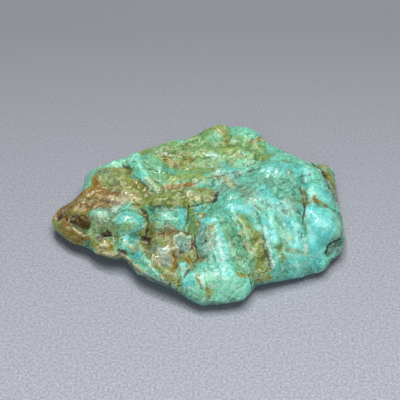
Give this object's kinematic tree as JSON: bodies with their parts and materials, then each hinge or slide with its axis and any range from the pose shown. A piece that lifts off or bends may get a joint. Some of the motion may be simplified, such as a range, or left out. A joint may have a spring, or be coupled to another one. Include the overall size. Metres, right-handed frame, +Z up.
{
  "type": "raw turquoise",
  "caption": "Flat, knobbly, water-worn nugget of raw turquoise, split by a dark fracture, that lies on a small flat spot on its underside.",
  "frame": {"origin": "middle of the bounding box's underside, on the flat spot the stone lies on", "axes": "+X along the stone's length, from its brown nose to its blue end; +Y towards its back crest; +Z up out of the resting spot"},
  "size_m": [0.051, 0.0424, 0.0089],
  "materials": {
    "turquoise": "blue-green turquoise with olive, ochre and rust matrix and dark fractures, tumbled to a waxy gloss"
  },
  "bodies": {
    "root": {"turquoise_stone": "turquoise"}
  },
  "joints": []
}
